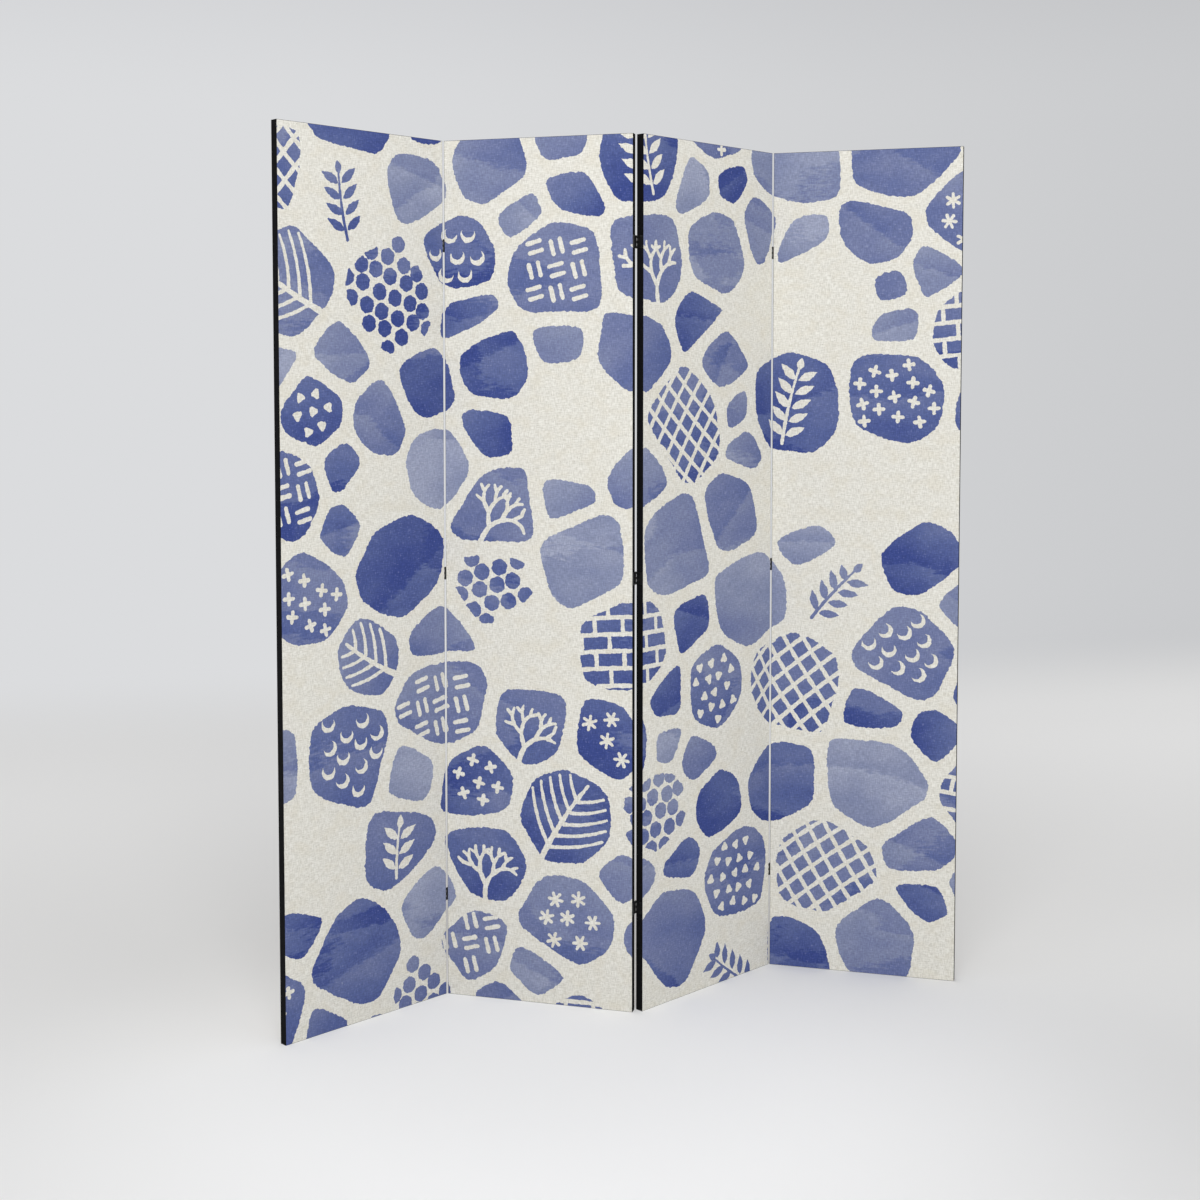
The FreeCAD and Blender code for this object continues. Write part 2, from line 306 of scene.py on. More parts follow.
def print_material():
    """Cream cloth with a blue wash where a face is painted."""
    material, tree = new_material("canvas_print")
    place = flat_place(tree)
    threads = linen(tree, place)
    paint, tone = wash_tone(tree, place)

    ground = mixed(tree, threads, GROUND_DARK, GROUND_LIGHT)
    aged = grain(tree, place, AGED_SPOTS, detail=5.0, distortion=0.3)
    ground = mixed(tree, stepped(tree, aged, *AGED_SPAN, 0.0, AGED_SHARE), ground, STAIN)
    specks = grain(tree, place, SPECK_SPOTS, detail=2.0)
    ground = mixed(tree, stepped(tree, specks, *SPECK_SPAN, 0.0, SPECK_SHARE), ground, FLECK)

    blue = ramp(tree, tone, WASH_COLOURS)
    mottle = grain(tree, place, MOTTLE_SPOTS)
    shade = varied(tree, varied(tree, 1.0, threads, THREAD_SHADE), mottle, MOTTLE)
    blue = mixed(tree, 1.0, blue, shade, "MULTIPLY")
    rubbed = stepped(tree, calc(tree, "ADD", mottle, threads), *RUBBED_SPAN, 0.0, RUBBED_SHARE)
    blue = mixed(tree, rubbed, blue, GROUND_DARK)
    colour = mixed(tree, paint, ground, blue)
    finish_surface(tree, colour, CLOTH_ROUGHNESS, threads, WEAVE_DEPTH, gloss=0.25)
    return material


def plain_cloth_material(name, dark, light, roughness, gloss):
    """Cloth of one colour, with only its threads to vary it."""
    material, tree = new_material(name)
    threads = linen(tree, flat_place(tree))
    colour = mixed(tree, threads, dark, light)
    finish_surface(tree, colour, roughness, threads, WEAVE_DEPTH, gloss=gloss)
    return material


# The print's design
# A field of rounded pebbles with a cream line between them, drawn flat over all four panels in
# one piece. Some pebbles hold a simple ornament, and a few are left bare.
PRINT_WIDTH = WIDTH * len(PANELS)
PRINT_MARGIN = 0.13  # pebbles are laid this far past the print's edges
# Least and most radius of the pebbles of a kind, and how many places are tried for them.
LARGE, MIDDLE, SMALL = (0.086, 0.106, 150), (0.060, 0.083, 2600), (0.038, 0.056, 5000)
LINE_LEAST, LINE_SPREAD, LINE_SPOTS = 0.022, 0.011, 9
STEP = 0.0023  # between the points of an outline
NEAR = 0.42  # only pebbles this near can share an edge
CORNER_SHARES = (0.17, 0.25, 0.25)  # of a side, cut off at each of its ends in turn
STUB = 0.012  # a side shorter than this makes no corner of its own
SWAY, TEAR, INNER_TEAR = 0.0040, 0.0024, 0.0010  # of a pebble's edge, and of its ornament's
# Spots to the metre of a coarse and a fine waver, and the fine one's share.
SWAY_WAVER, TEAR_WAVER = (14, 37, 0.45), (130, 310, 0.7)
TONES, ORNAMENT_TONES = (0.00, 0.78), (0.00, 0.45)
BANDED_SHARE, BAND_PLACES = 0.35, (-0.5, 0.5)
NO_BAND = 3.0  # a band's place that no pebble reaches
LEAN, LEAN_SPREAD = 90, 35  # in degrees

rng = random.Random(48)


def flat_noise(point, spots):
    """Smooth noise from -1 to 1 on the flat cloth, with so many spots to the metre."""
    return noise.noise(Vector((point.x * spots, point.y * spots, spots)))


class Pebble:
    """One cell of the print. Its tone goes from 0, dark, to 1, and its lean is the heading in
    which its wash gets lighter and its ornament grows."""

    def __init__(self, middle, radius):
        self.middle, self.radius = middle, radius
        self.outline = []
        self.ornament, self.bare = None, False
        self.tone = rng.uniform(*TONES)
        self.band = rng.uniform(*BAND_PLACES) if rng.random() < BANDED_SHARE else NO_BAND
        self.lean = math.radians(rng.gauss(LEAN, LEAN_SPREAD))


def scattered_pebbles():
    """Pebbles laid at random, the large ones first, none nearer than their radii allow."""
    laid = []
    for least, most, tries in (LARGE, MIDDLE, SMALL):
        for _ in range(tries):
            middle = Vector((
                rng.uniform(-PRINT_MARGIN, PRINT_WIDTH + PRINT_MARGIN),
                rng.uniform(-PRINT_MARGIN, HEIGHT + PRINT_MARGIN),
            ))
            radius = rng.uniform(least, most)
            if all((middle - other.middle).length > radius + other.radius for other in laid):
                laid.append(Pebble(middle, radius))
    return laid


def sides_of(ring):
    return zip(ring, ring[1:] + ring[:1])


def crossing(a, b, point, away):
    """Where a side crosses the line through a point, or nothing."""
    over_a, over_b = (a - point).dot(away), (b - point).dot(away)
    return a + (b - a) * (over_a / (over_a - over_b)) if over_a * over_b < 0 else None


def clipped(polygon, point, away):
    """What is left of a convex polygon behind a line through a point."""
    kept = []
    for a, b in sides_of(polygon):
        if (a - point).dot(away) <= 0:
            kept.append(a)
        cut = crossing(a, b, point, away)
        if cut is not None:
            kept.append(cut)
    return kept


def rounded(polygon, shares):
    """A closed polygon with its corners cut off, once for each share of a side."""
    for share in shares:
        cut = []
        for a, b in sides_of(polygon):
            cut += [a.lerp(b, share), a.lerp(b, 1 - share)]
        polygon = cut
    return polygon


def without_stubs(polygon):
    """A polygon with its shortest sides shrunk to a point, which makes rounder corners."""
    kept = []
    for a, b in sides_of(polygon):
        point = a if (b - a).length > STUB else (a + b) / 2
        if not kept or (point - kept[-1]).length > STUB / 2:
            kept.append(point)
    return kept


def spaced(points, closed):
    """Points at even steps along a line."""
    line = points + points[:1] if closed else points
    lengths = [0.0]
    for a, b in zip(line, line[1:]):
        lengths.append(lengths[-1] + (b - a).length)
    count = max(3, round(lengths[-1] / STEP))
    found, index = [], 0
    for number in range(count if closed else count + 1):
        target = min(lengths[-1] * number / count, lengths[-1] * (1 - 1e-9))
        while lengths[index + 1] < target:
            index += 1
        share = (target - lengths[index]) / max(lengths[index + 1] - lengths[index], 1e-12)
        found.append(line[index].lerp(line[index + 1], share))
    return found


def waver(point, coarse, fine, share):
    return flat_noise(point, coarse) + share * flat_noise(point, fine)


def brushed(outline, sway, tear):
    """An outline with the slow sway of a hand and the torn edge of a dry brush."""
    made = []
    count = len(outline)
    for index, point in enumerate(outline):
        along = outline[(index + 1) % count] - outline[index - 1]
        away = Vector((along.y, -along.x)).normalized()
        shift = sway * waver(point, *SWAY_WAVER)
        shift += tear * waver(point, *TEAR_WAVER)
        made.append(point + away * shift)
    return made


def shape_pebbles(laid):
    """Gives each pebble its outline, which stops half a line's width short of its neighbours'."""
    for pebble in laid:
        size = NEAR / 2
        shape = [pebble.middle + Vector(c) * size for c in ((-1, -1), (1, -1), (1, 1), (-1, 1))]
        for other in laid:
            apart = other.middle - pebble.middle
            distance = apart.length
            if other is pebble or distance > NEAR:
                continue
            share = (distance**2 + pebble.radius**2 - other.radius**2) / (2 * distance**2)
            halfway = (pebble.middle + other.middle) / 2
            line = LINE_LEAST + LINE_SPREAD * (0.5 + flat_noise(halfway, LINE_SPOTS))
            edge = pebble.middle + apart * (share - line / 2 / distance)
            shape = clipped(shape, edge, apart.normalized())
        if len(shape) > 2:
            smooth = spaced(rounded(without_stubs(shape), CORNER_SHARES), True)
            pebble.outline = brushed(smooth, SWAY, TEAR)


# Ornaments
# Each ornament gives closed outlines inside its pebble, each with its layer and whether that is
# painted. Strokes may run out into the cream line round the pebble.
CREAM, BLUE, BLUE_OVER = (1, False), (1, True), (2, True)
THIN, FULL = 0.0092, 0.0122  # widths of strokes
SWELL, SWELL_SPOTS, TORN_SPOTS = 0.22, 60, 310  # how a stroke's width and edge vary
ROUND_END, END_SHARES = 0.35, (0.3, 0.7)  # the form of its ends, as shares of its width
BOW_STEPS, DISC_CORNERS, BITE_CORNERS = 8, 30, 26
OVERRUN = 0.004  # of strokes past their pebble's edge
MARK_TEAR, LEAF_TEAR = 0.0006, 0.0007  # of the edges of small marks and leaves
MARK_CUT = (0.2,)  # the share of a mark's sides that its rounded corners take
REACH = 0.2  # rows and grids are tried this far from a pebble's middle
ROW_SHARE, STRAY_SHARE = 0.87, 0.08  # of a grid's pitch: between its rows, and to any side


def heading(angle):
    return Vector((math.cos(angle), math.sin(angle)))


def stroke(points, width, taper=0.0):
    """The outline of a brush stroke along some points, with round ends."""
    line = spaced(points, False)
    left, right = [], []
    last = len(line) - 1
    for index, point in enumerate(line):
        along = (line[min(index + 1, last)] - line[max(index - 1, 0)]).normalized()
        away = Vector((-along.y, along.x))
        half = width / 2 * (1 + SWELL * flat_noise(point, SWELL_SPOTS) - taper * index / last)
        half += MARK_TEAR * flat_noise(point, TORN_SPOTS)
        left.append(point + away * half)
        right.append(point - away * half)
    out = (line[-1] - line[-2]).normalized() * width * (1 - taper) * ROUND_END
    back = (line[0] - line[1]).normalized() * width * ROUND_END
    tip = [left[-1].lerp(right[-1], share) + out for share in END_SHARES]
    root = [right[0].lerp(left[0], share) + back for share in END_SHARES]
    return (left + tip + right[::-1] + root)[::-1]


def chord(outline, point, direction):
    """The longest stretch of a line within an outline, as its two ends, or nothing."""
    away = Vector((-direction.y, direction.x))
    cuts = []
    for a, b in sides_of(outline):
        cut = crossing(a, b, point, away)
        if cut is not None:
            cuts.append((cut - point).dot(direction))
    cuts.sort()
    spans = [(high - low, low, high) for low, high in zip(cuts[::2], cuts[1::2])]
    return max(spans)[1:] if spans else None


def bowed(start, end, bow):
    """A line between two points, bowed to its left."""
    middle, along = (start + end) / 2, end - start
    peak = middle + Vector((-along.y, along.x)) * bow
    made = []
    for number in range(BOW_STEPS + 1):
        share = number / BOW_STEPS
        made.append(start.lerp(peak, share).lerp(peak.lerp(end, share), share))
    return made


def across(pebble, angle, pitch):
    """Parallel thin strokes over a pebble."""
    bow, shortest = 0.03, 0.02
    along = heading(angle)
    away = Vector((-along.y, along.x))
    rows = int(REACH / pitch)
    strokes = []
    for number in range(-rows, rows + 1):
        point = pebble.middle + away * pitch * (number + 0.5)
        span = chord(pebble.outline, point, along)
        if span and span[1] - span[0] > shortest:
            ends = (point + along * (span[0] - OVERRUN), point + along * (span[1] + OVERRUN))
            strokes.append(stroke(bowed(*ends, bow), THIN))
    return strokes


def spots(pebble, pitch, clear):
    """Places on a staggered grid inside a pebble, at least so far from its edge."""
    found = []
    rows = int(REACH / pitch)
    turn = Matrix.Rotation(rng.uniform(-0.5, 0.5), 2)
    for row in range(-rows, rows + 1):
        for column in range(-rows, rows + 1):
            stagger = 0.5 * (row % 2)
            place = turn @ Vector(((column + stagger) * pitch, row * pitch * ROW_SHARE))
            place += pebble.middle + heading(rng.uniform(0, math.tau)) * pitch * STRAY_SHARE
            if clear_inside(pebble.outline, place, clear):
                found.append(place)
    return found


def within(outline, point):
    inside = False
    for a, b in sides_of(outline):
        if (a.y > point.y) != (b.y > point.y):
            if point.x < a.x + (b.x - a.x) * (point.y - a.y) / (b.y - a.y):
                inside = not inside
    return inside


def clear_inside(outline, point, clear):
    """Whether a point lies inside an outline and so far from it."""
    return within(outline, point) and min((p - point).length for p in outline) > clear


def leaf(root, tip, width):
    """An almond-shaped leaf, widest a little nearer to its root."""
    steps, fullness = 10, 0.85
    along = tip - root
    away = Vector((-along.y, along.x)).normalized() * width
    sides = []
    for side in (1, -1):
        for number in range(1, steps):
            share = number / steps if side > 0 else 1 - number / steps
            swell = math.sin(math.pi * share**fullness)
            sides.append(root + along * share + away * side * 0.5 * swell)
    whole = spaced([root] + sides[:steps - 1] + [tip] + sides[steps - 1:], True)[::-1]
    return brushed(whole, MARK_TEAR, LEAF_TEAR)


def ring_of_points(middle, radius, corners, turn):
    return [middle + heading(turn + math.tau * n / corners) * radius for n in range(corners)]


def rounded_mark(middle, radius, corners, turn):
    """A small three- or six-sided mark with rounded corners."""
    return spaced(rounded(ring_of_points(middle, radius, corners, turn), MARK_CUT), True)


def crossed_strokes(pebble, pitch, clear, count, half, width, turns):
    """Scattered marks, each of a few strokes that cross."""
    for place in spots(pebble, pitch, clear):
        turn = rng.uniform(*turns)
        for number in range(count):
            reach = heading(turn + math.pi * number / count) * half
            yield CREAM, stroke([place - reach, place + reach], width)


def lattice(pebble):
    """Two crossing sets of lines."""
    pitch, crossed_by = 0.036, 1.45
    angle = rng.uniform(0.6, 1.0)
    for line in across(pebble, angle, pitch) + across(pebble, angle + crossed_by, pitch):
        yield CREAM, line


def bricks(pebble):
    """Courses of bricks."""
    pitch, length_share = 0.035, 1.7
    level = rng.uniform(-0.2, 0.2)
    along, rise = heading(level), heading(level + math.pi / 2)
    for line in across(pebble, level, pitch):
        yield CREAM, line
    for row in range(-5, 6):
        for column in range(-4, 5):
            foot = pebble.middle + along * pitch * length_share * (column + 0.5 * (row % 2))
            foot += rise * pitch * (row + 0.5)
            middle = foot + rise * pitch / 2
            if within(pebble.outline, middle):
                yield CREAM, stroke([foot, foot + rise * pitch], THIN * 0.95)


def basket(pebble):
    """Pairs of short strokes, turned by a right angle from one to the next."""
    pitch, clear, apart, half, tilt = 0.047, 0.010, 0.0100, 0.0145, 0.25
    for row in range(-4, 5):
        for column in range(-4, 5):
            place = pebble.middle + Vector((column * pitch, row * pitch))
            if clear_inside(pebble.outline, place, clear):
                angle = math.pi / 2 * ((row + column) % 2) + tilt
                along, aside = heading(angle), heading(angle + math.pi / 2)
                for side in (-1, 1):
                    middle = place + aside * side * apart
                    yield CREAM, stroke([middle - along * half, middle + along * half], THIN)


def veins(pebble):
    """A midrib with side veins, as in a broad leaf."""
    pitch, spread, rib_gap, vein_gap, least_room = 0.029, 0.85, 0.012, 0.009, 0.024
    angle = pebble.lean
    along = heading(angle)
    span = chord(pebble.outline, pebble.middle, along)
    low, high = pebble.middle + along * span[0], pebble.middle + along * span[1]
    rib = bowed(low - along * OVERRUN, high - along * rib_gap, bow=0.06)
    yield CREAM, stroke(rib, FULL, taper=0.4)
    for number in range(1, int((high - low).length / pitch)):
        root = low + along * pitch * number
        for side in (-1, 1):
            out = heading(angle + side * spread)
            reach = chord(pebble.outline, root, out)
            if reach and reach[1] > least_room:
                end = root + out * (reach[1] - vein_gap)
                yield CREAM, stroke(bowed(root, end, side * 0.10), THIN * 0.9, taper=0.3)


def sprig(pebble, look=CREAM):
    """A stem with leaves in pairs."""
    pitch, spread, foot_gap, tip_gap = 0.031, 0.95, 0.014, 0.020
    leaf_gap, leaf_root, least_leaf, most_leaf = 0.012, 0.004, 0.018, 0.050
    angle = pebble.lean
    along = heading(angle)
    span = chord(pebble.outline, pebble.middle, along)
    low = pebble.middle + along * (span[0] + foot_gap)
    high = pebble.middle + along * (span[1] - tip_gap)
    half_leaf = along * 0.014
    yield look, stroke(bowed(low, high, bow=0.05), THIN * 0.85, taper=0.4)
    yield look, leaf(high - half_leaf, high + half_leaf, width=0.016)
    for number in range(1, int((high - low).length / pitch) + 1):
        root = low + along * pitch * (number - 0.45)
        for side in (-1, 1):
            out = heading(angle + side * spread)
            reach = chord(pebble.outline, root, out)
            room = min((reach[1] if reach else 0) - leaf_gap, most_leaf)
            if room > least_leaf:
                yield look, leaf(root + out * leaf_root, root + out * room, width=0.018)


def sprig_on_bare(pebble):
    return sprig(pebble, BLUE)


def crosses(pebble):
    return crossed_strokes(pebble, pitch=0.043, clear=0.015, count=2,
                           half=0.0112, width=THIN * 0.9, turns=(-0.3, 0.3))


def stars(pebble):
    return crossed_strokes(pebble, pitch=0.050, clear=0.019, count=3,
                           half=0.0150, width=THIN * 0.72, turns=(0, 1))


def moons(pebble):
    """Scattered crescents."""
    pitch, clear, radius, bite_radius, bite_shift = 0.045, 0.016, 0.0160, 0.0130, 0.0075
    for place in spots(pebble, pitch, clear):
        turn = pebble.lean + rng.uniform(-0.5, 0.5)
        disc = ring_of_points(place, radius, DISC_CORNERS, turn)
        shifted = place + heading(turn) * bite_shift
        bite = ring_of_points(shifted, bite_radius, BITE_CORNERS, turn)
        yield CREAM, brushed(disc, MARK_TEAR, MARK_TEAR)
        yield BLUE_OVER, brushed(bite, MARK_TEAR, MARK_TEAR)


def combs(pebble):
    """Blue six-sided cells on a bare ground, up to the pebble's edge and over it."""
    pitch, no_clearance, radius, turn, tear = 0.040, -1, 0.0193, 0.4, 0.0008
    for place in spots(pebble, pitch, no_clearance):
        yield BLUE, brushed(rounded_mark(place, radius, 6, turn), tear, tear)


def twigs(pebble):
    """A branching twig that grows from the pebble's foot."""
    shortest, clear, forks, shorter, thinner = 0.015, 0.010, (0.42, 0.62), 0.80, 0.90
    along = heading(pebble.lean)
    span = chord(pebble.outline, pebble.middle, along)

    def grow(root, angle, length, width):
        tip = root + heading(angle) * length
        if length < shortest or not clear_inside(pebble.outline, tip, clear):
            return
        yield CREAM, stroke(bowed(root, tip, bow=0.08), width, taper=0.25)
        for side in (-1, 1):
            turned_by = side * rng.uniform(*forks)
            yield from grow(tip, angle + turned_by, length * shorter, width * thinner)

    foot = pebble.middle + along * (span[0] - OVERRUN)
    yield from grow(foot, pebble.lean, pebble.radius * 0.50, FULL)


def arrowheads(pebble):
    """Scattered small three-cornered marks."""
    pitch, clear, radius = 0.037, 0.013, 0.0155
    for place in spots(pebble, pitch, clear):
        mark = rounded_mark(place, radius, 3, rng.uniform(0, math.tau))
        yield CREAM, brushed(mark, MARK_TEAR, LEAF_TEAR)


ORNAMENTS = (
    lattice, sprig, crosses, veins, combs, bricks,
    sprig_on_bare, moons, basket, twigs, stars, arrowheads,
)
ON_BARE = (combs, sprig_on_bare)
ORNAMENT_SHARE, BARE_SHARE = 0.58, 0.13
ORNAMENT_RADIUS = 0.065
FEWEST_POINTS = 20  # an outline with no more is too small to keep
DEALING_ROW = 0.2  # the height of the rows in which the ornaments are dealt out


def designed_print():
    """Every closed outline of the print: its pebble, layer, whether painted, and its points."""
    laid = scattered_pebbles()
    shape_pebbles(laid)
    laid = [pebble for pebble in laid if len(pebble.outline) > FEWEST_POINTS]
    laid.sort(key=lambda pebble: (round(pebble.middle.y / DEALING_ROW), pebble.middle.x))
    turn = 0
    for pebble in laid:
        if pebble.radius >= ORNAMENT_RADIUS and rng.random() < ORNAMENT_SHARE:
            pebble.ornament = ORNAMENTS[turn % len(ORNAMENTS)]
            pebble.tone = rng.uniform(*ORNAMENT_TONES)
            pebble.band = NO_BAND
            turn += 1
        else:
            pebble.bare = rng.random() < BARE_SHARE
    outlines = []
    for pebble in laid:
        if not pebble.bare:
            outlines.append((pebble, 0, pebble.ornament not in ON_BARE, pebble.outline))
        if pebble.ornament:
            for (layer, painted), outline in pebble.ornament(pebble):
                outlines.append((pebble, layer, painted, brushed(outline, 0.0, INNER_TEAR)))
    return outlines


# The cloth of one panel
# A second map fills a square image with the cloth: the front's lower and
# upper halves side by side, and above them the inside, then the edges and margins, and the tucks.
# Each block is its lowest and its highest corner on the image.
IMAGE_MAP = "OFBake"
LOWER_HALF, UPPER_HALF = ((0.003, 0.003), (0.498, 0.745)), ((0.502, 0.003), (0.997, 0.745))
INSIDE, AROUND = ((0.003, 0.749), (0.997, 0.930)), ((0.003, 0.934), (0.997, 0.985))
TUCKS = ((0.003, 0.989), (0.050, 0.997))

PRINT, EDGE, BACK = 0, 1, 2  # the cloth's material slots
ARC_STEPS = 4  # in the cloth's profile, round each of the panel's corners
BACK_STEPS = 2  # at the profile's end, which with the inside are raw cloth
UNPAINTED = (0.0, 0.5, NO_BAND, 1.0)  # whether painted, tone, band, and nothing
INSIDE_LOOPS, TOLERANCE = 1, 1e-6


def on_image(block, across, up):
    """A place on the image, from shares of a block's width and height."""
    (left, foot), (right, top) = block
    return left + across * (right - left), foot + up * (top - foot)


class Cloth:
    """A panel's cloth in the panel's own frame: its points, and for each face its points' numbers
    and its slot. Each corner of a face has a place on the flat cloth and one on the image."""

    def __init__(self):
        self.points, self.faces, self.slots = [], [], []
        self.flat, self.image = [], []

    def add(self, face, slot, flat, image):
        self.faces.append(face)
        self.slots.append(slot)
        self.flat += flat
        self.image += image


def front_faces(outlines, left):
    """The front of one panel, cut along the print's outlines and at half its height. Its points
    are flat, and each face comes with the pebble that it lies in and whether it is painted."""
    low = Vector((left + FOLD_RADIUS, FOLD_RADIUS))
    high = Vector((left + WIDTH - FOLD_RADIUS, HEIGHT - FOLD_RADIUS))
    points = [low, Vector((high.x, low.y)), high, Vector((low.x, high.y))]
    points += [Vector((low.x, HEIGHT / 2)), Vector((high.x, HEIGHT / 2))]
    halfway = (4, 5)
    loops, owners = [[0, 1, 2, 3]], [None]
    for pebble, layer, painted, outline in outlines:
        if max(p.x for p in outline) < low.x or min(p.x for p in outline) > high.x:
            continue
        if max(p.y for p in outline) < low.y or min(p.y for p in outline) > high.y:
            continue
        first = len(points)
        points += outline
        loops.append(list(range(first, len(points))))
        owners.append((pebble, layer, painted))
    parted = delaunay_2d_cdt(points, [halfway], loops, INSIDE_LOOPS, TOLERANCE)
    found, _, faces, _, _, sources = parted
    kept, looks = [], []
    for face, inside in zip(faces, sources):
        if 0 not in inside:
            continue
        layers = [owners[i] for i in inside if i]
        base = next((owner for owner in layers if owner[1] == 0), None)
        own = [owner for owner in layers if base and owner[0] is base[0]]
        top = max(own, key=lambda owner: owner[1], default=None)
        kept.append(face)
        looks.append((base[0] if base else None, bool(top and top[2])))
    return found, kept, looks, low, high


def border(points, faces, low, high):
    """The points along the front's edge, in order, each with the side that it starts on."""
    steps = {step for face in faces for step in sides_of(face)}
    ahead = {a: b for a, b in steps if (b, a) not in steps}
    start = min(ahead, key=lambda i: (points[i] - low).length)
    ring = []
    here = start
    while here != start or not ring:
        middle = (points[here] + points[ahead[here]]) / 2
        from_low, from_high = middle - low, middle - high
        off = [abs(d) for d in (from_low.y, from_high.x, from_high.y, from_low.x)]
        ring.append((here, off.index(min(off))))
        here = ahead[here]
    return ring


def edge_profile():
    """How the cloth goes round the timber: inset from the panel's outside, and depth."""
    steps = [math.pi / 2 * n / ARC_STEPS for n in range(ARC_STEPS + 1)]
    r = FOLD_RADIUS
    front = [(r - r * math.sin(a), r - r * math.cos(a)) for a in steps]
    back = [(r - r * math.cos(a), DEPTH - r + r * math.sin(a)) for a in steps]
    margin = [(TURNOVER, DEPTH), (TURNOVER, DEPTH - CLOTH), (CLOTH, DEPTH - CLOTH), (CLOTH, CLOTH)]
    return front + back + margin


def add_front(cloth, flat, faces, left):
    """Adds the front's faces, and returns the cloth's number of each flat point."""
    numbers = {}
    for face in faces:
        for index in face:
            if index not in numbers:
                numbers[index] = len(cloth.points)
                cloth.points.append(Vector((flat[index].x - left, 0.0, flat[index].y)))
        corners = [flat[index] for index in face]
        upper = sum(point.y for point in corners) / len(face) > HEIGHT / 2
        block = UPPER_HALF if upper else LOWER_HALF
        image = []
        for point in corners:
            image.append(on_image(block, (point.x - left) / WIDTH, point.y / HEIGHT * 2 - upper))
        cloth.add([numbers[index] for index in face], PRINT, corners, image)
    return numbers


def edge_rings(cloth, first_ring, edge_points, profile, low, high):
    """The rings of points that carry the front's edge round the timber, from the front's own."""
    rings = [first_ring]
    for inset, depth in profile[1:]:
        ring = []
        for point in edge_points:
            share_x = (point.x - low.x) / (high.x - low.x)
            share_z = (point.y - low.y) / (high.y - low.y)
            ring.append(len(cloth.points))
            x = inset + share_x * (WIDTH - 2 * inset)
            z = inset + share_z * (HEIGHT - 2 * inset)
            cloth.points.append(Vector((x, depth, z)))
        rings.append(ring)
    return rings


def add_wrapping(cloth, edge_points, sides, rings, profile, left):
    """Adds the wrapped edges, the turned-over margins and the cloth's inside."""
    outward = (Vector((0, -1)), Vector((1, 0)), Vector((0, 1)), Vector((-1, 0)))
    whole_run = sum(math.dist(a, b) for a, b in zip(profile, profile[1:]))
    along_edge = [0.0]
    for a, b in sides_of(edge_points):
        along_edge.append(along_edge[-1] + (b - a).length)
    count = len(edge_points)
    run = 0.0
    for step, (here, there) in enumerate(zip(profile, profile[1:])):
        end = run + math.dist(here, there)
        slot = EDGE if step < len(profile) - 1 - BACK_STEPS else BACK
        inner, outer = rings[step], rings[step + 1]
        for i in range(count):
            j = (i + 1) % count
            side = outward[sides[i]]
            a, b = edge_points[i], edge_points[j]
            flat = [b + side * run, a + side * run, a + side * end, b + side * end]
            image = []
            for stop, far in ((i + 1, run), (i, run), (i, end), (i + 1, end)):
                place = along_edge[stop] / along_edge[-1]
                image.append(on_image(AROUND, place, 1 - far / whole_run))
            cloth.add([inner[j], inner[i], outer[i], outer[j]], slot, flat, image)
        run = end
    flat = edge_points[::-1]
    image = [on_image(INSIDE, point.y / HEIGHT, (point.x - left) / WIDTH) for point in flat]
    cloth.add(rings[-1][::-1], BACK, flat, image)


def add_corner_folds(cloth, left):
    """Adds the tucked corners on the back: one thin wedge a corner, which is highest along its
    diagonal and runs out to nothing along the margin."""
    near, far = TUCK_INSET, TURNOVER - TUCK_SHORT
    low, high = DEPTH - TUCK_SUNK, DEPTH + FOLD_HEIGHT
    wedge = [(near, low, near), (far, low, far), (FOLD_REACH, low, near)]
    wedge += [(near, high, near), (far, high, far)]
    wedge_faces = [(0, 2, 1), (3, 4, 2), (0, 1, 4, 3), (0, 3, 2), (1, 2, 4)]
    for right in (False, True):
        for top in (False, True):
            first = len(cloth.points)
            placed = []
            for x, y, z in wedge:
                placed.append(Vector((WIDTH - x if right else x, y, HEIGHT - z if top else z)))
            cloth.points += placed
            for face in wedge_faces:
                face = face if right == top else face[::-1]
                flat = [Vector((left + placed[i].x, placed[i].z)) for i in face]
                shares = [(wedge[i][0] / FOLD_REACH, wedge[i][2] / FOLD_REACH) for i in face]
                image = [on_image(TUCKS, *share) for share in shares]
                cloth.add([first + i for i in face], EDGE, flat, image)


